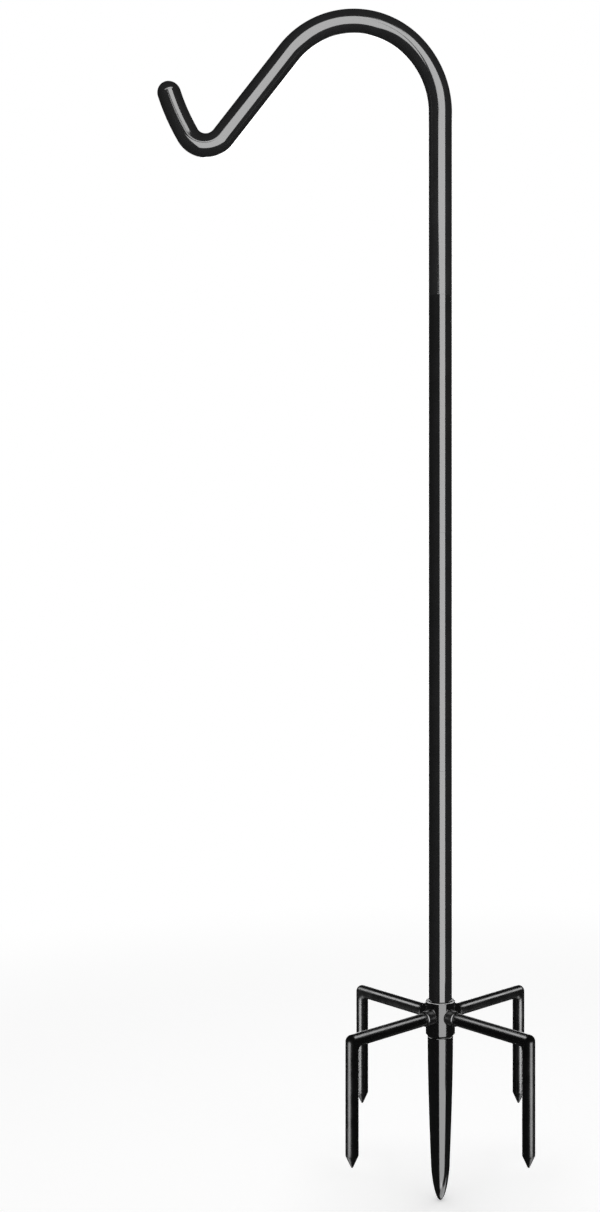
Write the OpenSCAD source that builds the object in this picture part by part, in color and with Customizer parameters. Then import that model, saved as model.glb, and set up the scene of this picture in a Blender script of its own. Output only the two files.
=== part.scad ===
// Shepherd's-hook plant stand: a sectional tube pole with a crook at the top,
// standing on a ground spike and four screw-in prongs round a base collar.
//
// Millimetres, +Z up. The origin is on the pole's axis at ground level, the
// underside of the prong arms. The crook reaches towards -X in the XZ plane.

/* [Pole] */
// Outside diameter of the pole and crook tubes
pole_d = 30; // [29:0.5:31]
// Wall thickness of the pole and crook tubes
pole_wall = 1.5; // [1.2:0.1:2]
// Length of each of the three straight pole sections
section_length = 303; // [150:1:400]

/* [Crook] */
// Straight run of the crook tube above the top pole section
crook_straight = 235; // [60:1:300]
// Centreline radius of the bend that leaves the pole
shoulder_r = 122; // [100:1:140]
// Angle of the bend that leaves the pole
shoulder_angle = 45; // [40:1:50]
// Centreline radius of the bend over the top
crown_r = 106; // [90:1:120]
// Angle of the bend over the top
crown_angle = 97; // [90:1:100]
// Straight run that falls from the crown to the saddle
fall_length = 137; // [90:1:160]
// Centreline radius of the saddle where the hanger sits
saddle_r = 27; // [24:1:40]
// Angle of the saddle bend
saddle_angle = 112; // [100:1:120]
// Centreline radius of the slightly curved lip
lip_r = 280; // [200:5:400]
// Angle of the lip bend
lip_angle = 12; // [8:1:16]

/* [Screw joints] */
// Major diameter of the pole's threaded studs
stud_d = 16; // [14:0.5:18]
// Threaded length that stands out of a section
stud_length = 22; // [16:1:30]
// Length of the plug that holds a stud in its tube
plug_length = 20; // [12:1:30]
// Length of the tapped insert in a tube end
insert_length = 26; // [20:1:40]
// Radial gap of every running or threaded fit
fit_gap = 0.05; // [0.03:0.01:0.08]

/* [Base collar] */
// Outside diameter of the collar sleeve
collar_d = 38; // [36:0.5:42]
// Height of the collar sleeve
collar_height = 45; // [42:1:60]
// Height of the sleeve's lower rim above ground level
collar_bottom = -18; // [-24:1:-14]
// Thickness of the core disc that carries the prong threads
core_height = 20; // [18:1:22]
// Chamfer of the upper rim
top_chamfer = 0.8; // [0.4:0.1:1.5]
// Height of the bevel that brings the lower rim in to the spike
bottom_bevel_height = 3; // [1:0.5:4]

/* [Prongs] */
// Diameter of the prong rods
prong_d = 16; // [14:0.5:16]
// Distance from the pole's axis to the axis of a prong's leg
prong_reach = 150; // [110:1:200]
// Radius inside the elbow; its outer corner is a ball of the rod's own size
elbow_inner_r = 4; // [2:0.5:12]
// Depth of the prong tips below ground level
prong_depth = 144; // [80:1:220]
// Height of the conical tip
prong_tip_height = 15; // [10:1:25]
// Radius of the small flat at the point
prong_point_r = 1; // [0.5:0.1:2]
// Major diameter of the prong's threaded root
root_d = 10; // [8:0.5:12]
// Length of the threaded root
root_length = 16; // [12:1:18]
// Outside diameter of the sockets welded to the collar
socket_d = 19; // [18:0.5:22]
// Distance from the pole's axis to the face of a socket
socket_face = 29; // [26:0.5:36]

/* [Ground spike] */
// Diameter of the spike under the collar
spike_d = 33.2; // [32:0.1:35]
// Diameter where the taper meets the nose
spike_knee_d = 24.6; // [20:0.1:28]
// Depth of that place below ground level
spike_knee_depth = 180; // [120:1:240]
// Depth of the point below ground level
spike_depth = 229; // [160:1:300]
// How late the taper gathers, as a power
taper_power = 1.6; // [1:0.1:2]
// How blunt the nose is, as a power
nose_power = 1.45; // [1.2:0.05:2]

/* [Hidden] */
$fn = 72;

// Directions of the four prongs about the pole's axis
front_left = 225;
front_right = 315;
rear_left = 135;
rear_right = 45;
prong_directions = [front_left, front_right, rear_left, rear_right];

// Overshoot of a cutting solid, and the edge chamfers of small turned parts
cut = 1;
edge = 0.8;
stud_chamfer = 1.5;
tube_edge = 0.3;
seam_lap = 0.5;
seam_step = 0.02;
elbow_step = 0.15;

pole_r = pole_d / 2;
pole_bore_r = pole_r - pole_wall;
stud_r = stud_d / 2;
tapped_r = stud_r + fit_gap;
root_r = root_d / 2;
arm_z = prong_d / 2;
collar_r = collar_d / 2;
collar_bore_r = pole_r + fit_gap;
core_bottom = arm_z - core_height / 2;
core_top = arm_z + core_height / 2;
core_bore_r = stud_r + 2 * fit_gap;
spike_r = spike_d / 2;
spike_neck_top = core_bottom - 0.3;
spike_knee_r = spike_knee_d / 2;

// Seams between the sections, from the foot of the pole upwards
foot_z = core_top;
middle_z = foot_z + section_length;
upper_z = middle_z + section_length;
crook_z = upper_z + section_length;

steel_black = [0.07, 0.07, 0.075];
steel_bare = [0.62, 0.63, 0.65];

// ---- Shared shapes -------------------------------------------------------

// A straight run of round bar or tube along +Z. A slim one laps into both of
// its neighbours and is a hair thinner, so that no two of their faces coincide.
module run(length, d, bore_d = 0, slim = false) {
    lap = slim ? seam_lap : 0;
    translate([0, 0, -lap])
        linear_extrude(length + 2 * lap)
            ring_section(d, bore_d, slim);
}

// A bend that starts along +Z and turns towards -X (side -1) or +X (side 1).
// The last bend of a tube has no neighbour at its far end to lap into.
module bend(r, angle, side, d, bore_d = 0, slim = false, last = false) {
    lap_angle = slim ? seam_lap / r * 180 / PI : 0;
    far_lap_angle = last ? 0 : lap_angle;
    mirror([side > 0 ? 1 : 0, 0, 0])
        translate([-r, 0, 0])
            rotate([90, 0, 0])
                rotate([0, 0, -lap_angle])
                    rotate_extrude(angle = lap_angle + angle + far_lap_angle)
                        translate([r, 0])
                            ring_section(d, bore_d, slim);
}

module ring_section(d, bore_d, slim) {
    step = slim ? seam_step : 0;
    difference() {
        circle(d = d - 2 * step);
        if (bore_d > 0) circle(d = bore_d + 2 * step);
    }
}

// Moves its children to the far end of such a run or bend
module after_run(length) {
    translate([0, 0, length]) children();
}

module after_bend(r, angle, side) {
    translate([side * r, 0, 0])
        rotate([0, side * angle, 0])
            translate([-side * r, 0, 0])
                children();
}

// A disc or shaft along +Z with a chamfer at each end
module turned(r, height, low_chamfer, high_chamfer) {
    rotate_extrude()
        polygon([
            [0, 0],
            [r - low_chamfer, 0],
            [r, low_chamfer],
            [r, height - high_chamfer],
            [r - high_chamfer, height],
            [0, height],
        ]);
}

// ---- Pole and crook ------------------------------------------------------

// A straight tube with lightly broken outer edges
module section_tube(length) {
    difference() {
        turned(pole_r, length, tube_edge, tube_edge);
        translate([0, 0, -cut]) cylinder(r = pole_bore_r, h = length + 2 * cut);
    }
}

// A plug for the lower end of a tube, with the threaded stud under it
module stud_plug() {
    turned(pole_bore_r, plug_length, 0, edge);
    translate([0, 0, -stud_length]) turned(stud_r, stud_length + cut, stud_chamfer, 0);
}

// A tapped plug, flush with the end of its tube
module tapped_insert() {
    difference() {
        turned(pole_bore_r, insert_length, edge, 0);
        translate([0, 0, -cut]) cylinder(r = tapped_r, h = insert_length + 2 * cut);
    }
}

module crook_tube() {
    bore_d = 2 * pole_bore_r;
    color(steel_black) translate([0, 0, crook_z]) {
        section_tube(crook_straight);
        after_run(crook_straight) {
            bend(shoulder_r, shoulder_angle, -1, pole_d, bore_d, slim = true);
            after_bend(shoulder_r, shoulder_angle, -1) {
                bend(crown_r, crown_angle, -1, pole_d, bore_d);
                after_bend(crown_r, crown_angle, -1) {
                    run(fall_length, pole_d, bore_d, slim = true);
                    after_run(fall_length) {
                        bend(saddle_r, saddle_angle, 1, pole_d, bore_d);
                        after_bend(saddle_r, saddle_angle, 1)
                            bend(lip_r, lip_angle, 1, pole_d, bore_d, slim = true, last = true);
                    }
                }
            }
        }
    }
}

// Moves its children to the open end of the crook's lip
module at_lip() {
    translate([0, 0, crook_z + crook_straight])
        after_bend(shoulder_r, shoulder_angle, -1)
            after_bend(crown_r, crown_angle, -1)
                after_run(fall_length)
                    after_bend(saddle_r, saddle_angle, 1)
                        after_bend(lip_r, lip_angle, 1)
                            children();
}

module crook_tip_cap() {
    spigot_length = 8;
    spigot_gap = 0.3;
    color(steel_black) at_lip() {
        rotate_extrude() intersection() {
            circle(r = pole_r);
            square(pole_r);
        }
        translate([0, 0, -spigot_length])
            turned(pole_bore_r - spigot_gap, spigot_length + cut, edge, 0);
    }
}

module crook_stud() {
    color(steel_bare) translate([0, 0, crook_z]) stud_plug();
}

module pole_upper_tube() {
    color(steel_black) translate([0, 0, upper_z]) section_tube(section_length);
}

module pole_upper_stud() {
    color(steel_bare) translate([0, 0, upper_z]) stud_plug();
}

module pole_upper_insert() {
    color(steel_bare) translate([0, 0, crook_z - insert_length]) tapped_insert();
}

module pole_middle_tube() {
    color(steel_black) translate([0, 0, middle_z]) section_tube(section_length);
}

module pole_middle_stud() {
    color(steel_bare) translate([0, 0, middle_z]) stud_plug();
}

module pole_middle_insert() {
    color(steel_bare) translate([0, 0, upper_z - insert_length]) tapped_insert();
}

module pole_lower_tube() {
    color(steel_black) translate([0, 0, foot_z]) section_tube(section_length);
}

module pole_lower_top_insert() {
    color(steel_bare) translate([0, 0, middle_z - insert_length]) tapped_insert();
}

module pole_lower_foot_insert() {
    color(steel_bare)
        translate([0, 0, foot_z + insert_length]) mirror([0, 0, 1]) tapped_insert();
}

// ---- Base collar ---------------------------------------------------------

// The four threaded holes that the prongs screw into
module prong_holes() {
    for (direction = prong_directions)
        rotate([0, 0, direction])
            translate([core_bore_r / 2, 0, arm_z])
                rotate([0, 90, 0])
                    cylinder(r = root_r + fit_gap, h = socket_face);
}

module collar_sleeve() {
    bevel = collar_r - spike_r;
    color(steel_black) difference() {
        translate([0, 0, collar_bottom]) rotate_extrude() polygon([
            [collar_bore_r, 0],
            [spike_r, 0],
            [spike_r + bevel, bottom_bevel_height],
            [collar_r, collar_height - top_chamfer],
            [collar_r - top_chamfer, collar_height],
            [collar_bore_r, collar_height],
        ]);
        prong_holes();
    }
}

module collar_core() {
    color(steel_bare) difference() {
        translate([0, 0, core_bottom]) turned(collar_bore_r, core_height, edge, edge);
        translate([0, 0, core_bottom - cut]) cylinder(r = core_bore_r, h = core_height + 2 * cut);
        prong_holes();
    }
}

// A tapped bush, coped to the sleeve and welded on
module socket(direction) {
    inner = collar_r / 2;
    color(steel_black) difference() {
        rotate([0, 0, direction])
            translate([inner, 0, arm_z])
                rotate([0, 90, 0])
                    turned(socket_d / 2, socket_face - inner, 0, edge);
        translate([0, 0, collar_bottom]) cylinder(r = collar_r, h = collar_height);
        prong_holes();
    }
}

module socket_front_left() { socket(front_left); }
module socket_front_right() { socket(front_right); }
module socket_rear_left() { socket(rear_left); }
module socket_rear_right() { socket(rear_right); }

// ---- Prongs --------------------------------------------------------------

// A forged elbow that starts along +Z and turns to +X: a bend for its inside,
// and for its outside two slightly slimmer rods that meet in a ball
module elbow(r) {
    corner_d = prong_d - 2 * elbow_step;
    bend(r, 90, 1, prong_d);
    translate([0, 0, -seam_lap]) cylinder(d = corner_d, h = r + seam_lap);
    after_run(r) {
        sphere(d = corner_d);
        rotate([0, 90, 0]) cylinder(d = corner_d, h = r + seam_lap);
    }
}

// A rod that runs out from its socket, turns down at its elbow and ends in a
// conical point. Its root is turned down and threaded.
module prong(direction) {
    elbow_r = elbow_inner_r + prong_d / 2;
    arm_length = prong_reach - elbow_r - socket_face;
    leg_length = arm_z - elbow_r + prong_depth - prong_tip_height;
    color(steel_black)
        rotate([0, 0, direction])
            translate([socket_face, 0, arm_z])
                rotate([0, 90, 0]) {
                    translate([0, 0, -root_length])
                        turned(root_r, root_length + cut, edge, 0);
                    turned(prong_d / 2, arm_length, edge, 0);
                    after_run(arm_length) {
                        elbow(elbow_r);
                        after_bend(elbow_r, 90, 1) {
                            run(leg_length, prong_d);
                            after_run(leg_length)
                                cylinder(r1 = prong_d / 2, r2 = prong_point_r, h = prong_tip_height);
                        }
                    }
                }
}

module prong_front_left() { prong(front_left); }
module prong_front_right() { prong(front_right); }
module prong_rear_left() { prong(rear_left); }
module prong_rear_right() { prong(rear_right); }

// ---- Ground spike --------------------------------------------------------

// Radius of the long taper, for a share t from the collar (0) to the knee (1)
function taper_radius(t) = spike_r - (spike_r - spike_knee_r) * pow(t, taper_power);

// Radius of the nose, for a share t from the knee (0) to the point (1)
function nose_radius(t) = spike_knee_r * sqrt(1 - pow(t, nose_power));

module ground_spike() {
    taper_steps = 12;
    nose_steps = 24;
    taper_height = collar_bottom + spike_knee_depth;
    nose_height = spike_depth - spike_knee_depth;
    stud_top = foot_z + stud_length;
    color(steel_black) {
        rotate_extrude() polygon([
            [0, collar_bottom],
            for (i = [0 : taper_steps])
                let (t = i / taper_steps) [taper_radius(t), collar_bottom - taper_height * t],
            for (i = [1 : nose_steps])
                let (t = 1 - pow(1 - i / nose_steps, 2))
                    [nose_radius(t), -spike_knee_depth - nose_height * t],
        ]);
        translate([0, 0, collar_bottom - cut])
            turned(pole_r, spike_neck_top - collar_bottom + cut, 0, edge);
        translate([0, 0, spike_neck_top - cut])
            turned(stud_r, stud_top - spike_neck_top + cut, 0, stud_chamfer);
    }
}

crook_tube();
crook_tip_cap();
crook_stud();
pole_upper_tube();
pole_upper_stud();
pole_upper_insert();
pole_middle_tube();
pole_middle_stud();
pole_middle_insert();
pole_lower_tube();
pole_lower_top_insert();
pole_lower_foot_insert();
collar_sleeve();
collar_core();
ground_spike();
socket_front_left();
socket_front_right();
socket_rear_left();
socket_rear_right();
prong_front_left();
prong_front_right();
prong_rear_left();
prong_rear_right();
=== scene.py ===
"""Looks of the plant stand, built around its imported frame.

Shapes are worked out in millimetres and become metres when a mesh is made. The
pole stands on +Z, the crook reaches towards -X and the camera looks along +Y.
"""

import math

import bpy
from mathutils import Matrix, Vector


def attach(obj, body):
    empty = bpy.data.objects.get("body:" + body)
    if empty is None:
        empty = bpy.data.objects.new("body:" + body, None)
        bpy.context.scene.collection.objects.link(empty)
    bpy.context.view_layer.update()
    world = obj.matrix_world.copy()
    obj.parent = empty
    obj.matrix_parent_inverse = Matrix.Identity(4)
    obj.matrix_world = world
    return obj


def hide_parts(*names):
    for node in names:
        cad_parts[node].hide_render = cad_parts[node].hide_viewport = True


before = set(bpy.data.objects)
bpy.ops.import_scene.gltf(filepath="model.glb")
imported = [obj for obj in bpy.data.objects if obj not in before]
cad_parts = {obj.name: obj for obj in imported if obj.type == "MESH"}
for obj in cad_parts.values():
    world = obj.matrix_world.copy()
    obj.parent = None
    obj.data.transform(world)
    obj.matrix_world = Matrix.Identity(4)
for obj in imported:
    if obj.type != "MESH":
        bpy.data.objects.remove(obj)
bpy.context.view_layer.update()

MM = 0.001
X, Y = Vector((1, 0, 0)), Vector((0, 1, 0))

# Sizes of the stand in millimetres, as in the part's source
TUBE_R, BORE_R = 15.0, 13.5
SEAMS = {"lower": 18.0, "middle": 321.0, "upper": 624.0, "crook": 927.0}
SECTION = 303.0
CROOK_PATH = [
    ("run", 235.0),
    ("bend", 122.0, 45.0, 1),
    ("bend", 106.0, 97.0, 1),
    ("run", 137.0),
    ("bend", 27.0, 112.0, -1),
    ("bend", 280.0, 12.0, -1),
]
STUD_R, STUD_LENGTH, PLUG_LENGTH, INSERT_LENGTH = 8.0, 22.0, 20.0, 26.0
STUD_PITCH, STUD_THREAD_DEPTH = 2.0, 1.15
COLLAR_R, COLLAR_BORE_R, COLLAR_LOW, COLLAR_HIGH = 19.0, 15.05, -18.0, 27.0
SPIKE_R, KNEE_R, KNEE_DEPTH, SPIKE_DEPTH = 16.6, 12.3, 180.0, 229.0
TAPER_POWER, NOSE_POWER = 1.6, 1.45
NECK_TOP = -2.3
ARM_Z, PRONG_R, ELBOW_INNER_R = 8.0, 8.0, 4.0
REACH, PRONG_DEPTH, TIP_HEIGHT, POINT_R = 150.0, 144.0, 15.0, 1.0
SOCKET_R, SOCKET_FACE = 9.5, 29.0
ROOT_R, ROOT_LENGTH, ROOT_PITCH, ROOT_THREAD_DEPTH = 5.0, 16.0, 1.5, 0.85
FIT_GAP = 0.05
HOLE_R = ROOT_R + FIT_GAP
PRONGS = {"front_left": 225.0, "front_right": 315.0, "rear_left": 135.0, "rear_right": 45.0}

# Small roundings that only the looks need
JOINT_EDGE, BORE_EDGE = 0.09, 0.15
SHOULDER_EDGE, NECK_EDGE = 1.5, 0.8
BEVEL_FOOT_EDGE, BEVEL_TOP_EDGE, RIM_EDGE, MOUTH_EDGE = 0.3, 2.6, 1.6, 0.35
SOCKET_EDGE = 1.4
STUD_NECK_R, ROOT_NECK_R = 6.9, 4.1

# Where a thread's crest ends and its root starts and ends, over one pitch
CREST_END, ROOT_START, ROOT_END = 0.16, 0.46, 0.7


# ---- Mesh making -------------------------------------------------------------


def circle(centre, across, beside, radius, sides):
    """Points round a centre, in the plane of two unit vectors. The radius may depend on the angle."""
    points = []
    for k in range(sides):
        angle = 2 * math.pi * k / sides
        r = radius(angle) if callable(radius) else radius
        points.append(centre + r * (math.cos(angle) * across + math.sin(angle) * beside))
    return points


def loft_faces(ring_count, sides, closed):
    """Quads between neighbouring rings, and a cap at each end unless the rings close on themselves."""
    faces = []
    for i in range(ring_count if closed else ring_count - 1):
        a, b = i * sides, ((i + 1) % ring_count) * sides
        for k in range(sides):
            n = (k + 1) % sides
            faces.append((a + k, a + n, b + n, b + k))
    if not closed:
        faces.append(tuple(reversed(range(sides))))
        faces.append(tuple(range((ring_count - 1) * sides, ring_count * sides)))
    return faces


def make_piece(name, points, faces, material, body, nodes, sharp=32):
    """A mesh from points in millimetres, which rides on a body and stands for CAD nodes.

    It is shaded smooth apart from edges sharper than so many degrees.
    """
    mesh = bpy.data.meshes.new(name)
    mesh.from_pydata([tuple(p * MM) for p in points], [], faces)
    mesh.polygons.foreach_set("use_smooth", [True] * len(mesh.polygons))
    mesh.update()
    mesh.set_sharp_from_angle(angle=math.radians(sharp))
    mesh.materials.append(material)
    piece = bpy.data.objects.new(name, mesh)
    bpy.context.scene.collection.objects.link(piece)
    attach(piece, body)
    if nodes:
        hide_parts(*nodes)
    return piece


def loft(name, rings, closed, material, body, nodes=(), place=None, sharp=32):
    """A piece with faces between its rings, moved to its place."""
    points = [p for ring in rings for p in ring]
    if place is not None:
        points = [place @ p for p in points]
    faces = loft_faces(len(rings), len(rings[0]), closed)
    return make_piece(name, points, faces, material, body, nodes, sharp)


def rounded(profile, radius, steps=3):
    """The (r, z) profile with each corner that has a radius turned into a short arc."""
    out = []
    count = len(profile)
    for i, corner in enumerate(profile):
        r = radius.get(i, 0)
        if not r:
            out.append(corner)
            continue
        here = Vector(corner)
        before = (Vector(profile[i - 1]) - here).normalized()
        after = (Vector(profile[(i + 1) % count]) - here).normalized()
        half = before.angle(after) / 2
        reach = r / math.tan(half)
        centre = here + (before + after).normalized() * (r / math.sin(half))
        start, end = here + before * reach - centre, here + after * reach - centre
        for s in range(steps + 1):
            out.append(tuple(centre + start.slerp(end, s / steps).normalized() * r))
    return out


def thread_wave(phase):
    """Depth of a thread below its crest, 0 to 1, at a phase in turns: crest, flank, root and flank."""
    phase = phase % 1.0
    if phase < CREST_END:
        return 0.0
    if phase < ROOT_START:
        return (phase - CREST_END) / (ROOT_START - CREST_END)
    if phase < ROOT_END:
        return 1.0
    return (1.0 - phase) / (1.0 - ROOT_END)


def turned(profile, sides=96, thread=None):
    """Rings of a part turned about +Z, from its (r, z) profile.

    thread is (low, high, pitch, depth, crest radius), and its depth is negative
    in a nut. It is cut where the profile is at the crest radius, and fades out
    over its first and last turns.
    """
    rings = []
    for r, z in profile:
        radius = r
        if thread and thread[0] <= z <= thread[1] and abs(r - thread[4]) < 1e-6:
            low, high, pitch, depth, _ = thread
            fade = min(1.0, (z - low) / pitch, (high - z) / pitch)
            radius = lambda a: r - fade * depth * thread_wave(z / pitch - a / (2 * math.pi))
        rings.append(circle(Vector((0, 0, z)), X, Y, radius, sides))
    return rings


def thread_rows(low, high, radius, pitch, per_pitch=10):
    """Profile points up a threaded length."""
    steps = max(2, round((high - low) / pitch * per_pitch))
    return [(radius, low + (high - low) * i / steps) for i in range(steps + 1)]


def walk(path, start, step_mm=6.0, step_degrees=2.0):
    """Stations along a path of runs and bends, as (x, z, heading).

    Heading 0 is up, and a heading grows towards -x.
    """
    x, z = start
    heading = 0.0
    out = [(x, z, heading)]
    for piece in path:
        if piece[0] == "run":
            steps = max(1, round(piece[1] / step_mm))
            dx, dz = -math.sin(heading), math.cos(heading)
            for i in range(1, steps + 1):
                far = piece[1] * i / steps
                out.append((x + dx * far, z + dz * far, heading))
            x, z = x + dx * piece[1], z + dz * piece[1]
        else:
            _, r, degrees, side = piece
            cx, cz = x - side * r * math.cos(heading), z - side * r * math.sin(heading)
            steps = max(2, round(degrees / step_degrees))
            for i in range(1, steps + 1):
                h = heading + side * math.radians(degrees) * i / steps
                out.append((cx + side * r * math.cos(h), cz + side * r * math.sin(h), h))
            heading += side * math.radians(degrees)
            x, z = out[-1][0], out[-1][1]
    return out


def section_ring(station, radius, sides, along=0.0):
    """A ring square to the path at a station, moved a little along the path."""
    x, z, heading = station
    across = Vector((math.cos(heading), 0, math.sin(heading)))
    ahead = Vector((-math.sin(heading), 0, math.cos(heading)))
    return circle(Vector((x, 0, z)) + ahead * along, across, Y, radius, sides)


# ---- Materials ---------------------------------------------------------------


def new_material(name):
    """A material with nodes, its node tree and its shader."""
    material = bpy.data.materials.new(name)
    material.use_nodes = True
    tree = material.node_tree
    return material, tree, tree.nodes["Principled BSDF"]


def node(tree, kind, **inputs):
    """A new node with some of its inputs set."""
    made = tree.nodes.new(kind)
    for key, value in inputs.items():
        made.inputs[key.replace("_", " ")].default_value = value
    return made


def spread(tree, source, low, high):
    """The source, which runs from about 0.3 to 0.7, spread over low to high."""
    ramp = node(tree, "ShaderNodeMapRange", From_Min=0.3, From_Max=0.7, To_Min=low, To_Max=high)
    tree.links.new(source, ramp.inputs["Value"])
    return ramp.outputs["Result"]


def noise(tree, place, scale, detail, roughness):
    """The factor of a noise texture at a place."""
    texture = node(tree, "ShaderNodeTexNoise", Scale=scale, Detail=detail, Roughness=roughness)
    tree.links.new(place, texture.inputs["Vector"])
    return texture.outputs["Fac"]


def set_colour(tree, shader, source, dark, light):
    """Base colour that runs with the source between two stops, each a (position, colour)."""
    ramp = tree.nodes.new("ShaderNodeValToRGB")
    for element, (position, colour) in zip(ramp.color_ramp.elements, (dark, light)):
        element.position = position
        element.color = (*colour, 1)
    tree.links.new(source, ramp.inputs["Fac"])
    tree.links.new(ramp.outputs["Color"], shader.inputs["Base Color"])


def set_bump(tree, shader, source, strength, height):
    """A bump of the given strength, and height in metres."""
    bump = node(tree, "ShaderNodeBump", Strength=strength, Distance=height)
    tree.links.new(source, bump.inputs["Height"])
    tree.links.new(bump.outputs["Normal"], shader.inputs["Normal"])


def enamel(name, black, rough, coat, peel):
    """Black enamel: a fine orange peel, patches of duller film and a slight unevenness of the black."""
    material, tree, shader = new_material(name)
    place = tree.nodes.new("ShaderNodeTexCoord").outputs["Object"]
    patches = noise(tree, place, 38.0, 4.0, 0.6)
    grain = noise(tree, place, 620.0, 2.0, 0.5)
    film = spread(tree, patches, rough * 0.8, rough * 1.35)
    tree.links.new(film, shader.inputs["Roughness"])
    deep = (black * 0.86, black * 0.86, black * 0.88)
    pale = (black * 1.12, black * 1.12, black * 1.16)
    set_colour(tree, shader, patches, (0.35, deep), (0.7, pale))
    set_bump(tree, shader, grain, peel, 0.00004)
    shader.inputs["IOR"].default_value = 1.5
    shader.inputs["Specular IOR Level"].default_value = 1.0
    shader.inputs["Coat Weight"].default_value = coat
    shader.inputs["Coat Roughness"].default_value = 0.03
    return material


def plated_steel(name):
    """Zinc-plated turned steel: fine tool lines round the pole's axis, and a slightly clouded plating."""
    material, tree, shader = new_material(name)
    link = tree.links.new
    place = tree.nodes.new("ShaderNodeTexCoord").outputs["Object"]
    apart = tree.nodes.new("ShaderNodeSeparateXYZ")
    link(place, apart.inputs["Vector"])
    flat = tree.nodes.new("ShaderNodeCombineXYZ")
    for axis in ("X", "Y"):
        link(apart.outputs[axis], flat.inputs[axis])
    from_axis = tree.nodes.new("ShaderNodeVectorMath")
    from_axis.operation = "LENGTH"
    link(flat.outputs["Vector"], from_axis.inputs[0])
    round_axis = tree.nodes.new("ShaderNodeCombineXYZ")
    link(from_axis.outputs["Value"], round_axis.inputs["X"])
    link(apart.outputs["Z"], round_axis.inputs["Y"])
    lines = noise(tree, round_axis.outputs["Vector"], 5200.0, 2.0, 0.6)
    clouds = noise(tree, place, 240.0, 3.0, 0.55)
    set_colour(tree, shader, clouds, (0.3, (0.5, 0.51, 0.53)), (0.75, (0.68, 0.69, 0.7)))
    link(spread(tree, clouds, 0.24, 0.42), shader.inputs["Roughness"])
    set_bump(tree, shader, lines, 0.35, 0.00003)
    shader.inputs["Metallic"].default_value = 1.0
    return material


POLE_ENAMEL = enamel("pole_enamel", black=0.0105, rough=0.085, coat=0.5, peel=0.07)
BASE_ENAMEL = enamel("base_enamel", black=0.0016, rough=0.1, coat=0.4, peel=0.08)
ROD_ENAMEL = enamel("rod_enamel", black=0.0016, rough=0.25, coat=0.0, peel=0.05)
STEEL = plated_steel("zinc_plated_steel")
collar_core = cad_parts["collar_core"]
collar_core.data.materials.clear()
collar_core.data.materials.append(STEEL)


# ---- Pole and crook ----------------------------------------------------------


def make_section_tube(node_name, body, low):
    """A drawn tube whose cut ends are lightly rounded."""
    high = low + SECTION
    profile = [(TUBE_R, low), (TUBE_R, high), (BORE_R, high), (BORE_R, low)]
    edges = {0: JOINT_EDGE, 1: JOINT_EDGE, 2: BORE_EDGE, 3: BORE_EDGE}
    rings = turned(rounded(profile, edges), 128)
    # A low limit for sharp edges keeps the roundings from bending the long wall's shading
    return loft(node_name + "_form", rings, True, POLE_ENAMEL, body, [node_name], sharp=12)


def make_stud(node_name, body, seam):
    """The plug in a section's foot, and the threaded stud that stands out of it."""
    tip = seam - STUD_LENGTH
    low, high = tip + 1.6, seam - 1.8
    profile = [(STUD_R - 1.5, tip), (STUD_R - 0.2, tip + 1.3)]
    profile += thread_rows(low, high, STUD_R, STUD_PITCH)
    profile += [(STUD_NECK_R, seam - 1.2), (STUD_NECK_R, seam - 0.3), (7.3, seam)]
    profile += [(12.9, seam), (BORE_R, seam + 0.6)]
    profile += [(BORE_R, seam + PLUG_LENGTH - 0.8), (BORE_R - 0.8, seam + PLUG_LENGTH)]
    rings = turned(profile, 96, (low, high, STUD_PITCH, STUD_THREAD_DEPTH, STUD_R))
    return loft(node_name + "_form", rings, False, STEEL, body, [node_name])


def make_insert(node_name, body, mouth, inward):
    """A tapped insert whose mouth is at a tube's end and whose body runs inward, up (1) or down (-1)."""
    hole = STUD_R + FIT_GAP
    low, high = 1.4, INSERT_LENGTH - 0.4
    profile = [(hole + 1.2, 0)] + thread_rows(low, high, hole, STUD_PITCH)
    profile += [(hole + 0.3, INSERT_LENGTH), (BORE_R - 0.1, INSERT_LENGTH)]
    profile += [(BORE_R, INSERT_LENGTH - 0.3), (BORE_R, 0.5), (BORE_R - 0.5, 0)]
    rings = turned(profile, 96, (low, high, STUD_PITCH, -STUD_THREAD_DEPTH, hole))
    place = Matrix.Translation((0, 0, mouth))
    if inward < 0:
        place = place @ Matrix.Rotation(math.pi, 4, "X")
    return loft(node_name + "_form", rings, True, STEEL, body, [node_name], place)


def make_crook_tube():
    """One tube, straight and then bent into the crook."""
    sides = 128
    stations = walk(CROOK_PATH, (0, SEAMS["crook"]))
    start, end = stations[0], stations[-1]
    rings = [
        section_ring(start, TUBE_R - JOINT_EDGE, sides),
        section_ring(start, TUBE_R - JOINT_EDGE * 0.3, sides, JOINT_EDGE * 0.3),
        section_ring(start, TUBE_R, sides, JOINT_EDGE),
        section_ring(start, TUBE_R, sides, JOINT_EDGE + 0.2),
    ]
    rings += [section_ring(s, TUBE_R, sides) for s in stations[1:-1]]
    rings += [section_ring(end, TUBE_R, sides, -0.25), section_ring(end, TUBE_R - 0.2, sides)]
    rings += [section_ring(s, BORE_R, sides) for s in reversed(stations)]
    return loft("crook_tube_form", rings, True, POLE_ENAMEL, "crook", ["crook_tube"])


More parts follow.
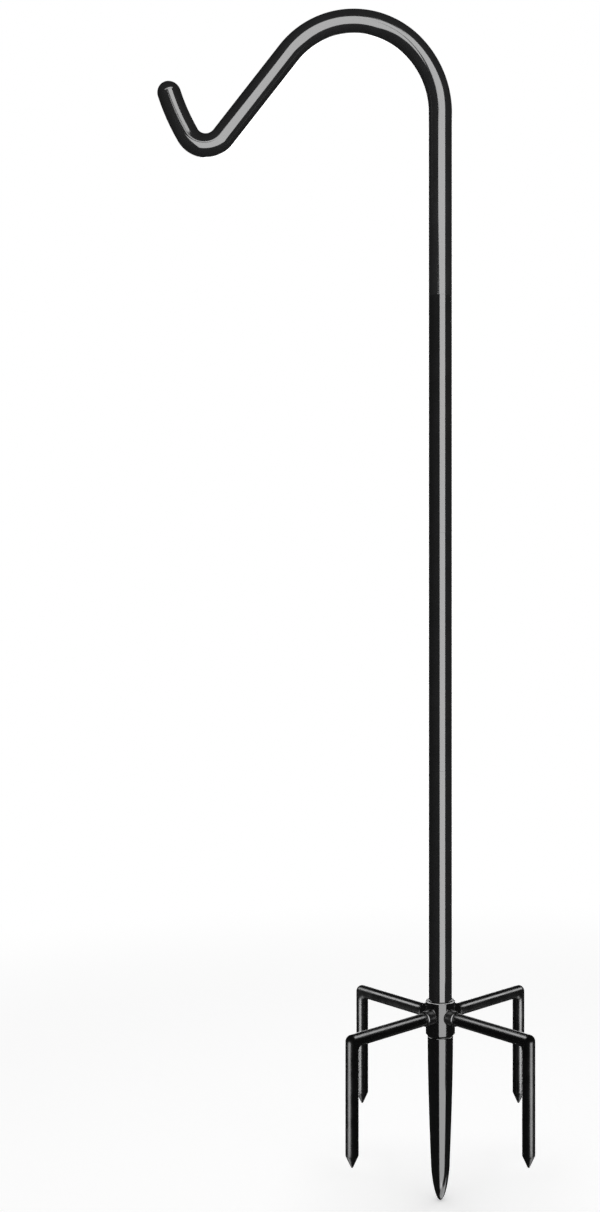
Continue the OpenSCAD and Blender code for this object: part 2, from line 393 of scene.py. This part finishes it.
def make_tip_cap():
    """The domed cap that closes the crook's lip, with a fine seam where it meets the tube."""
    x, z, heading = walk(CROOK_PATH, (0, SEAMS["crook"]))[-1]
    place = Matrix.Translation((x, 0, z)) @ Matrix.Rotation(-heading, 4, "Y")
    spigot = BORE_R - 0.3
    profile = [(spigot - 0.8, -8), (spigot, -7.2), (spigot, 0), (TUBE_R - 0.2, 0.02)]
    dome_steps = 30
    for i in range(1, dome_steps):
        lift = math.radians(90 * i / dome_steps)
        profile.append((TUBE_R * math.cos(lift), TUBE_R * math.sin(lift)))
    profile.append((0.02, TUBE_R))
    rings = turned(profile, 128)
    slot, stands_for = "black_enamel", ["crook_tip_cap"]
    return loft("crook_tip_cap_form", rings, False, POLE_ENAMEL, "crook", stands_for, place)


def make_pole():
    """The section tubes, then the steel pieces inside them, then the crook's tube and cap."""
    tubes = []
    for name in ("lower", "middle", "upper"):
        tubes.append(make_section_tube(f"pole_{name}_tube", f"{name}_pole", SEAMS[name]))
    steel = [
        make_insert("pole_lower_foot_insert", "lower_pole", SEAMS["lower"], 1),
        make_insert("pole_lower_top_insert", "lower_pole", SEAMS["middle"], -1),
        make_stud("pole_middle_stud", "middle_pole", SEAMS["middle"]),
        make_insert("pole_middle_insert", "middle_pole", SEAMS["upper"], -1),
        make_stud("pole_upper_stud", "upper_pole", SEAMS["upper"]),
        make_insert("pole_upper_insert", "upper_pole", SEAMS["crook"], -1),
        make_stud("crook_stud", "crook", SEAMS["crook"]),
    ]
    return tubes, steel, [make_crook_tube(), make_tip_cap()]


# ---- Ground spike ------------------------------------------------------------


def make_spike():
    """The tapered spike with its blunt nose, shoulder and neck, and the threaded stud on top."""
    taper_height = KNEE_DEPTH + COLLAR_LOW
    nose_height = SPIKE_DEPTH - KNEE_DEPTH
    steps = 40
    outline = []
    for i in range(steps):
        t = 1 - (i / steps) ** 2
        r = KNEE_R * math.sqrt(max(0.0, 1 - t**NOSE_POWER))
        outline.append((max(0.05, r), -KNEE_DEPTH - nose_height * t))
    for i in range(steps + 1):
        t = 1 - i / steps
        r = SPIKE_R - (SPIKE_R - KNEE_R) * t**TAPER_POWER
        outline.append((r, COLLAR_LOW - taper_height * t))
    shoulder = len(outline) - 1
    neck = shoulder + 2
    outline += [(TUBE_R, COLLAR_LOW), (TUBE_R, NECK_TOP), (STUD_NECK_R, NECK_TOP)]
    rings = turned(rounded(outline, {shoulder: SHOULDER_EDGE, neck: NECK_EDGE}, 8), 128)
    body = loft("ground_spike_form", rings, False, BASE_ENAMEL, "spike", ["ground_spike"])
    top = SEAMS["lower"] + STUD_LENGTH
    low, high = NECK_TOP + 1.4, top - 1.7
    profile = [(STUD_NECK_R, NECK_TOP - 1), (STUD_NECK_R, NECK_TOP + 0.9)]
    profile += thread_rows(low, high, STUD_R, STUD_PITCH)
    profile += [(STUD_R - 0.2, top - 1.4), (STUD_R - 1.5, top)]
    rings = turned(profile, 96, (low, high, STUD_PITCH, STUD_THREAD_DEPTH, STUD_R))
    stud = loft("ground_spike_stud_form", rings, False, STEEL, "spike", ["ground_spike"])
    return body, stud


# ---- Collar ------------------------------------------------------------------

# The sleeve's mesh has a square patch round each hole, and gaps between the patches
PATCH_STEPS, GAP_STEPS, PATCH_LAYERS = 12, 9, 5
PATCH_HALF_ANGLE, PATCH_HALF_HEIGHT = math.radians(27), 8.6
BEVEL_HEIGHT, BAND_LOW = 3.0, -6.0
SOCKET_SINK = 0.6


def patch_share(k):
    """Where grid line k of a patch lies, from -1 to 1, so that the lines fan evenly round a hole."""
    return math.tan(math.radians(-45 + 90 * k / PATCH_STEPS))


def sleeve_columns():
    """Angles of the sleeve's columns: across each hole's patch, then across the gap after it."""
    gap = math.radians(90) - 2 * PATCH_HALF_ANGLE
    columns = []
    for direction in sorted(PRONGS.values()):
        turn = math.radians(direction)
        columns += [turn + PATCH_HALF_ANGLE * patch_share(k) for k in range(PATCH_STEPS)]
        columns += [turn + PATCH_HALF_ANGLE + gap * k / GAP_STEPS for k in range(GAP_STEPS)]
    return columns


def sleeve_rows():
    """The sleeve's closed (r, z) profile, and where the patches start in it, outside and inside."""
    foot = [(COLLAR_BORE_R, COLLAR_LOW), (SPIKE_R, COLLAR_LOW)]
    foot += [(COLLAR_R, COLLAR_LOW + BEVEL_HEIGHT), (COLLAR_R, 0)]
    rim = [(COLLAR_R, 0), (COLLAR_R, COLLAR_HIGH), (COLLAR_BORE_R, COLLAR_HIGH), (COLLAR_BORE_R, 0)]
    patch = [ARM_Z + PATCH_HALF_HEIGHT * patch_share(k) for k in range(PATCH_STEPS + 1)]
    rows = rounded(foot, {1: BEVEL_FOOT_EDGE, 2: BEVEL_TOP_EDGE}, 6)[1:-1] + [(COLLAR_R, BAND_LOW)]
    outer_start = len(rows)
    rows += [(COLLAR_R, z) for z in patch] + rounded(rim, {1: RIM_EDGE, 2: MOUTH_EDGE}, 8)[1:-1]
    inner_start = len(rows)
    rows += [(COLLAR_BORE_R, z) for z in reversed(patch)] + [(COLLAR_BORE_R, COLLAR_LOW)]
    return rows, outer_start, inner_start


def patch_border():
    """Grid places along a patch's border, as (across, up)."""
    border = [(k, 0) for k in range(PATCH_STEPS)]
    border += [(PATCH_STEPS, k) for k in range(PATCH_STEPS)]
    border += [(PATCH_STEPS - k, PATCH_STEPS) for k in range(PATCH_STEPS)]
    return border + [(0, PATCH_STEPS - k) for k in range(PATCH_STEPS)]


def open_patch(points, faces, loop, radius, turn, outside):
    """Adds the faces between a patch's border and its round hole, and gives the hole's rim."""
    for layer in range(1, PATCH_LAYERS + 1):
        share = layer / PATCH_LAYERS
        next_loop = []
        for u, v in patch_border():
            across, up = patch_share(u), patch_share(v)
            fan = math.atan2(up, across)
            y = radius * math.sin(PATCH_HALF_ANGLE * across) * (1 - share) + HOLE_R * math.cos(fan) * share
            z = PATCH_HALF_HEIGHT * up * (1 - share) + HOLE_R * math.sin(fan) * share
            angle = turn + math.asin(y / radius)
            points.append(Vector((radius * math.cos(angle), radius * math.sin(angle), ARM_Z + z)))
            next_loop.append(len(points) - 1)
        for q in range(len(loop)):
            n = (q + 1) % len(loop)
            face = (loop[q], loop[n], next_loop[n], next_loop[q])
            faces.append(face if outside else face[::-1])
        loop = next_loop
    return loop


def make_sleeve():
    """The collar's sleeve as one closed mesh: rounded rims, a bevelled foot and a hole for each prong."""
    columns = sleeve_columns()
    rows, outer_start, inner_start = sleeve_rows()
    width, block = len(columns), PATCH_STEPS + GAP_STEPS
    points = [Vector((r * math.cos(a), r * math.sin(a), z)) for r, z in rows for a in columns]
    faces = []
    for i in range(len(rows)):
        up = (i + 1) % len(rows)
        in_patches = any(start <= i < start + PATCH_STEPS for start in (outer_start, inner_start))
        for j in range(width):
            if in_patches and j % block < PATCH_STEPS:
                continue
            n = (j + 1) % width
            faces.append((i * width + j, i * width + n, up * width + n, up * width + j))
    for number, direction in enumerate(sorted(PRONGS.values())):
        rims = []
        for start, radius, outside in ((outer_start, COLLAR_R, True), (inner_start, COLLAR_BORE_R, False)):
            loop = []
            for u, v in patch_border():
                row = start + (v if outside else PATCH_STEPS - v)
                loop.append(row * width + (number * block + u) % width)
            rims.append(open_patch(points, faces, loop, radius, math.radians(direction), outside))
        outer, inner = rims
        for q in range(len(outer)):
            n = (q + 1) % len(outer)
            faces.append((outer[q], outer[n], inner[n], inner[q]))
    stands_for = ["collar_sleeve"]
    return make_piece("collar_sleeve_form", points, faces, BASE_ENAMEL, "collar", stands_for)


def along_arm(direction):
    """Turns a part made about +Z so that +Z runs out along a prong's arm and +X points down."""
    turn = Matrix.Rotation(math.radians(direction), 4, "Z")
    return turn @ Matrix.Translation((0, 0, ARM_Z)) @ Matrix.Rotation(math.radians(90), 4, "Y")


def sleeve_surface(side):
    """How far out along an arm the sleeve's surface is, at a distance to the side of the arm's axis."""
    return math.sqrt(COLLAR_R**2 - side**2)


def coped(ring):
    """A ring round an arm, moved along the arm to just inside the sleeve's surface."""
    return [Vector((p.x, p.y, sleeve_surface(p.y) - SOCKET_SINK)) for p in ring]


def make_socket(name):
    """A tapped bush, coped to the sleeve, with a rounded rim."""
    low, high = 17.0, SOCKET_FACE - 0.9
    profile = [(SOCKET_R, 20.0), (SOCKET_R, SOCKET_FACE), (HOLE_R + 0.8, SOCKET_FACE)]
    profile = rounded(profile, {1: SOCKET_EDGE}, 8)
    profile += reversed(thread_rows(low, high, HOLE_R, ROOT_PITCH))
    rings = turned(profile, 96, (low, high, ROOT_PITCH, -ROOT_THREAD_DEPTH, HOLE_R))
    rings = [coped(rings[0])] + rings[1:-1] + [coped(rings[-1])]
    node_name = f"socket_{name}"
    place = along_arm(PRONGS[name])
    return loft(node_name + "_form", rings, True, ROD_ENAMEL, "collar", [node_name], place)


def make_weld(name):
    """The rippled weld bead round a socket's foot."""
    steps, sides, ripples = 240, 12, 34
    foot_r = SOCKET_R + 0.15
    bead_r, ripple_height, sway = 0.7, 0.04, 0.02

    def spot(angle):
        side = foot_r * math.sin(angle)
        return Vector((foot_r * math.cos(angle), side, sleeve_surface(side) + 0.1))

    rings = []
    for i in range(steps):
        angle = 2 * math.pi * i / steps
        ahead = (spot(angle + 0.01) - spot(angle - 0.01)).normalized()
        outward = Vector((math.cos(angle), math.sin(angle), 0))
        beside = ahead.cross(outward).normalized()
        across = beside.cross(ahead).normalized()
        lag = (angle * ripples / (2 * math.pi)) % 1.0
        ripple = ripple_height * math.sqrt(1 - (2 * lag - 1) ** 2)
        radius = bead_r + ripple + sway * math.sin(5 * angle + 1.3)
        rings.append(circle(spot(angle), across, beside, radius, sides))
    place = along_arm(PRONGS[name])
    return loft(f"weld_{name}", rings, True, ROD_ENAMEL, "collar", (), place, 60)


# ---- Prongs ------------------------------------------------------------------


def in_elbow(place, bend_r):
    """Whether a place is in one of the two rods, the ball between them or the fillet.

    It is measured from where the rods' axes cross.
    """
    x, y, z = place
    in_arm = z <= 0 and x * x + y * y <= PRONG_R**2
    in_leg = x >= 0 and y * y + z * z <= PRONG_R**2
    in_ball = x * x + y * y + z * z <= PRONG_R**2
    off_bend = math.hypot(x - bend_r, z + bend_r) - bend_r
    in_fillet = 0 <= x <= bend_r and -bend_r <= z <= 0 and off_bend**2 + y * y <= PRONG_R**2
    return in_arm or in_leg or in_ball or in_fillet


def elbow_ring(corner, bend_r, turn, sides):
    """The outline of the elbow in the plane through the fillet's hub at an angle to the arm."""
    inward = Vector((math.cos(turn), 0, -math.sin(turn)))
    centre = Vector((bend_r, 0, -bend_r)) - inward * bend_r / max(math.cos(turn), math.sin(turn))
    ring = []
    for k in range(sides):
        angle = 2 * math.pi * k / sides
        ray = math.cos(angle) * inward + math.sin(angle) * Y
        near, far = 0.0, 3 * PRONG_R
        for _ in range(24):
            middle = (near + far) / 2
            if in_elbow(centre + ray * middle, bend_r):
                near = middle
            else:
                far = middle
        ring.append(corner + centre + ray * near)
    return ring


def make_prong(name):
    """The rod with its forged elbow and conical point, and its threaded root."""
    sides, elbow_steps, leg_steps = 80, 36, 20
    bend_r = ELBOW_INNER_R + PRONG_R
    arm, leg = REACH - SOCKET_FACE, ARM_Z + PRONG_DEPTH - TIP_HEIGHT
    corner = Vector((0, 0, arm))
    stations = walk([("run", arm - bend_r)], (0, 0))
    start, down = stations[0], -math.pi / 2
    rings = [
        section_ring(start, PRONG_R - 0.8, sides),
        section_ring(start, PRONG_R - 0.25, sides, 0.22),
        section_ring(start, PRONG_R, sides, 0.8),
    ]
    rings += [section_ring(s, PRONG_R, sides) for s in stations[1:-1]]
    for i in range(elbow_steps + 1):
        rings.append(elbow_ring(corner, bend_r, math.radians(90 * i / elbow_steps), sides))
    for i in range(1, leg_steps):
        rings.append(section_ring((bend_r + (leg - bend_r) * i / leg_steps, arm, down), PRONG_R, sides))
    end = (leg, arm, down)
    rings += [section_ring(end, PRONG_R, sides, -0.5), section_ring(end, PRONG_R - 0.12, sides, 0.25)]
    for share in (0.1, 0.3, 0.5, 0.7, 0.9, 0.96):
        r = PRONG_R - (PRONG_R - POINT_R) * share
        rings.append(section_ring(end, r, sides, TIP_HEIGHT * share))
    rings.append(section_ring(end, POINT_R * 0.75, sides, TIP_HEIGHT - 0.12))
    rings.append(section_ring(end, POINT_R * 0.3, sides, TIP_HEIGHT))
    place = along_arm(PRONGS[name]) @ Matrix.Translation((0, 0, SOCKET_FACE))
    node_name, body = f"prong_{name}", f"{name}_prong"
    rod = loft(node_name + "_form", rings, False, ROD_ENAMEL, body, [node_name], place)
    low, high = -ROOT_LENGTH + 1.1, -1.4
    profile = [(ROOT_R - 0.8, -ROOT_LENGTH), (ROOT_R - 0.15, -ROOT_LENGTH + 0.75)]
    profile += thread_rows(low, high, ROOT_R, ROOT_PITCH) + [(ROOT_NECK_R, -0.9), (ROOT_NECK_R, 0.6)]
    rings = turned(profile, 72, (low, high, ROOT_PITCH, ROOT_THREAD_DEPTH, ROOT_R))
    root = loft(f"prong_root_{name}", rings, False, STEEL, body, [node_name], place)
    return rod, root


# ---- Camera, lights and floor, in metres --------------------------------------

CAMERA_PLACE = Vector((0, -1.728, 0.531))
LENS = 40.1
FRAMING = (-0.1158, 0.0)

# Lamps in front stand in one upright plane, and their right edges make the stripe's right edge
FRONT_Y = -3.0
CROOK_RADIANCE = 4.0

FLOOR_Z, FLOOR_RADIUS = -SPIKE_DEPTH * MM, 14.0
PAPER, PAPER_LIFT = (0.8, 0.8, 0.8, 1), 0.5
WHITE_FROM, WHITE_TO = 0.7, 1.8

# The studio is dim, but gloss mirrors white where the direction's Y is past an edge
STUDIO, WHITE = (0.028, 0.028, 0.028, 1), (1, 1, 1, 1)
WHITE_EDGE, WHITE_FULL = 0.93, 0.97


def make_camera():
    """The camera at the photograph's viewing angle, level, with its framing shifted sideways."""
    data = bpy.data.cameras.new("camera")
    data.lens = LENS
    data.shift_x, data.shift_y = FRAMING
    data.clip_start, data.clip_end = 0.02, 60
    camera = bpy.data.objects.new("camera", data)
    camera.location = CAMERA_PLACE
    camera.rotation_euler = (math.radians(90), 0, 0)
    bpy.context.scene.collection.objects.link(camera)
    bpy.context.scene.camera = camera


def make_softbox(name, centre, aim, size, radiance, receivers):
    """An evenly bright rectangle, unseen by the camera, that lights the given objects alone."""
    data = bpy.data.lights.new(name, "AREA")
    data.shape = "RECTANGLE"
    data.size, data.size_y = size
    data.energy = radiance * math.pi * size[0] * size[1]
    lamp = bpy.data.objects.new(name, data)
    lamp.location = centre
    lamp.rotation_euler = (Vector(aim) - Vector(centre)).to_track_quat("-Z", "Y").to_euler()
    lamp.visible_camera = False
    bpy.context.scene.collection.objects.link(lamp)
    lit = bpy.data.collections.new(name + "_lights")
    for thing in receivers:
        lit.objects.link(thing)
    lamp.light_linking.receiver_collection = lit


def crook_softboxes():
    """Left, low, right and high edges of the crook's softboxes.

    Two are large. Four widen the upper one to the left, in steps upwards, and
    four lie above it, with left edges that step to the right.
    """
    left, low, right = -1.75, -1.5, 3.25
    shank_left, shank_low, shank_high = -0.34, 1.6, 2.3
    step_left, steps = -0.5, 4
    boxes = [(left, low, right, shank_low), (shank_left, shank_low, right, shank_high)]
    for i in range(steps):
        beside_low = shank_low + 0.02 + 0.1 * i
        beside_high = shank_high if i == steps - 1 else beside_low + 0.1
        boxes.append((step_left - 0.19 * i, beside_low, shank_left, beside_high))
        above_low = shank_high + 0.35 * i
        boxes.append((step_left + 0.33 * i, above_low, right, above_low + 0.35))
    return boxes


def make_crook_lights(receivers):
    """Softboxes side by side in one upright plane, which the crook mirrors as a stripe along its bends."""
    for i, (left, low, right, high) in enumerate(crook_softboxes()):
        centre = Vector(((left + right) / 2, FRONT_Y, (low + high) / 2))
        size = (right - left, high - low)
        make_softbox(f"crook_key_{i}", centre, centre - FRONT_Y * Y, size, CROOK_RADIANCE, receivers)


def make_floor():
    """A pale floor, white to the camera apart from the stand's soft shadow."""
    rings_out, sides = 24, 96
    centre = Vector((0, 0, FLOOR_Z / MM))
    points = [centre]
    faces = []
    for i in range(1, rings_out + 1):
        points += circle(centre, X, Y, FLOOR_RADIUS / MM * (i / rings_out) ** 2, sides)
    for k in range(sides):
        n = (k + 1) % sides
        faces.append((0, 1 + k, 1 + n))
        for i in range(rings_out - 1):
            a, b = 1 + i * sides, 1 + (i + 1) * sides
            faces.append((a + k, b + k, b + n, a + n))
    mesh = bpy.data.meshes.new("floor")
    mesh.from_pydata([tuple(p * MM) for p in points], [], faces)
    mesh.materials.append(floor_material())
    floor = bpy.data.objects.new("floor", mesh)
    bpy.context.scene.collection.objects.link(floor)
    floor.visible_glossy = False
    floor.visible_shadow = False
    return floor


def blend(tree, share, first, second):
    """A shader that goes from the first to the second with the share."""
    mixed = tree.nodes.new("ShaderNodeMixShader")
    for i, source in enumerate((share, first, second)):
        tree.links.new(source, mixed.inputs[i])
    return mixed.outputs["Shader"]


def combine(tree, operation, first, second):
    """The result of a sum on two values."""
    made = tree.nodes.new("ShaderNodeMath")
    made.operation = operation
    tree.links.new(first, made.inputs[0])
    tree.links.new(second, made.inputs[1])
    return made.outputs["Value"]


def floor_material():
    """Pale matt paper near the stand, fading to the white of the backdrop further out."""
    material = bpy.data.materials.new("pale_floor")
    material.use_nodes = True
    tree = material.node_tree
    tree.nodes.clear()
    link = tree.links.new
    paper = node(tree, "ShaderNodeBsdfDiffuse", Color=PAPER).outputs["BSDF"]
    lift = node(tree, "ShaderNodeEmission", Strength=PAPER_LIFT)
    white = node(tree, "ShaderNodeEmission", Strength=1.0)
    near = tree.nodes.new("ShaderNodeAddShader")
    link(paper, near.inputs[0])
    link(lift.outputs["Emission"], near.inputs[1])
    distance = tree.nodes.new("ShaderNodeVectorMath")
    distance.operation = "LENGTH"
    link(tree.nodes.new("ShaderNodeTexCoord").outputs["Object"], distance.inputs[0])
    fade = node(tree, "ShaderNodeMapRange", From_Min=WHITE_FROM, From_Max=WHITE_TO)
    fade.interpolation_type = "SMOOTHSTEP"
    link(distance.outputs["Value"], fade.inputs["Value"])
    seen = blend(tree, fade.outputs["Result"], near.outputs["Shader"], white.outputs["Emission"])
    rays = tree.nodes.new("ShaderNodeLightPath").outputs
    to_camera = combine(tree, "MAXIMUM", rays["Is Camera Ray"], rays["Is Transmission Ray"])
    out = tree.nodes.new("ShaderNodeOutputMaterial")
    link(blend(tree, to_camera, paper, seen), out.inputs["Surface"])
    return material


def make_world():
    """A dim studio with a white background, which the gloss mirrors where it lies behind the stand."""
    world = bpy.data.worlds.new("studio")
    bpy.context.scene.world = world
    world.use_nodes = True
    tree = world.node_tree
    tree.nodes.clear()
    link = tree.links.new
    dim = node(tree, "ShaderNodeBackground", Color=STUDIO, Strength=1.0)
    white = node(tree, "ShaderNodeBackground", Color=WHITE, Strength=1.0)
    apart = tree.nodes.new("ShaderNodeSeparateXYZ")
    link(tree.nodes.new("ShaderNodeTexCoord").outputs["Generated"], apart.inputs["Vector"])
    behind = node(tree, "ShaderNodeMapRange", From_Min=WHITE_EDGE, From_Max=WHITE_FULL)
    link(apart.outputs["Y"], behind.inputs["Value"])
    rays = tree.nodes.new("ShaderNodeLightPath").outputs
    seen = combine(tree, "MULTIPLY", rays["Is Glossy Ray"], behind.outputs["Result"])
    for ray in ("Is Camera Ray", "Is Transmission Ray"):
        seen = combine(tree, "MAXIMUM", seen, rays[ray])
    out = tree.nodes.new("ShaderNodeOutputWorld")
    link(blend(tree, seen, dim.outputs["Background"], white.outputs["Background"]), out.inputs["Surface"])


# ---- The stand and its studio --------------------------------------------------


make_camera()
section_parts, pole_steel, crook_parts = make_pole()
spike_body, spike_stud = make_spike()
sleeve = make_sleeve()
rods, sockets, roots, welds = {}, {}, [], []
for prong_name in PRONGS:
    rods[prong_name], root = make_prong(prong_name)
    sockets[prong_name] = make_socket(prong_name)
    welds.append(make_weld(prong_name))
    roots.append(root)
steel_parts = pole_steel + roots + [spike_stud, collar_core]
pole_parts = section_parts + crook_parts
foot = [spike_body, sleeve]
prong_parts = [*rods.values(), *sockets.values(), *welds]
floor = make_floor()
make_world()

# Each softbox has its place, what it faces, its width and height, its radiance and what it lights
make_crook_lights(crook_parts)
make_softbox("key", (1.47, FRONT_Y, 0.35), (1.47, 0, 0.35), (3.54, 3.9), 4.0, section_parts + steel_parts)
make_softbox("foot_key", (1.6, FRONT_Y, -1.1), (1.6, 0, -1.1), (4.3, 4.8), 3.2, foot)
make_softbox("nose_key", (0.75, -0.3, -1.58), (0.2, 0.25, -0.23), (2.2, 1.0), 2.1, [spike_body])
make_softbox("overhead", (0, -0.35, 1.6), (0, -0.35, 0), (2.2, 3.7), 4.8, foot + steel_parts)
make_softbox("back", (0, 5.0, 0.5), (0, 0, 0.5), (2.6, 5.0), 3.0, pole_parts + steel_parts)
make_softbox("back_low", (0, 5.0, -1.2), (0, 0, -1.2), (2.6, 2.4), 3.0, foot + prong_parts)
for end, radiance in (("front", 7.0), ("rear", 2.6)):
    rims = [socket for name, socket in sockets.items() if name.startswith(end)]
    make_softbox(f"rims_{end}", (0, -2.2, 0.6), (0, 0, 0.1), (4.4, 3.6), radiance, rims)
for side, word in ((-1, "left"), (1, "right")):
    front, rear = rods[f"front_{word}"], rods[f"rear_{word}"]
    across = rods["front_right" if side < 0 else "front_left"]
    legs = (side * 1.12, -1.15, -0.6)
    make_softbox(f"legs_{word}", legs, (0, 0, -0.6), (1.2, 0.7), 1.6, [front, rear])
    make_softbox(f"front_leg_{word}", legs, (0, 0, -0.6), (0.75, 0.7), 13.5, [front])
    make_softbox(f"rear_leg_{word}", legs, (0, 0, -0.6), (0.62, 0.7), 30.0, [rear])
    below, tips = (side * 0.68, -0.05, -0.96), (side * 0.1, 0, -0.13)
    make_softbox(f"tips_{word}", below, tips, (0.6, 0.6), 1.6, [front, rear])
    make_softbox(f"front_arm_{word}", (side * 1.0, 0.54, 1.27), (0, 0, 0), (1.1, 0.8), 4.4, [across])
    make_softbox(f"rear_arm_{word}", (side * 1.33, 0.38, 1.0), (0, 0, 0), (0.6, 0.6), 5.2, [rear])
    make_softbox(f"foot_side_{word}", (side * 1.3, 0.9, 0.9), (0, 0, 0), (2.0, 1.2), 3.4, foot)
make_softbox("floor_light", (0, 0, 3.2), (0, 0, 0), (3.0, 3.0), 3.0, [floor])

bpy.context.scene.view_settings.view_transform = "Standard"
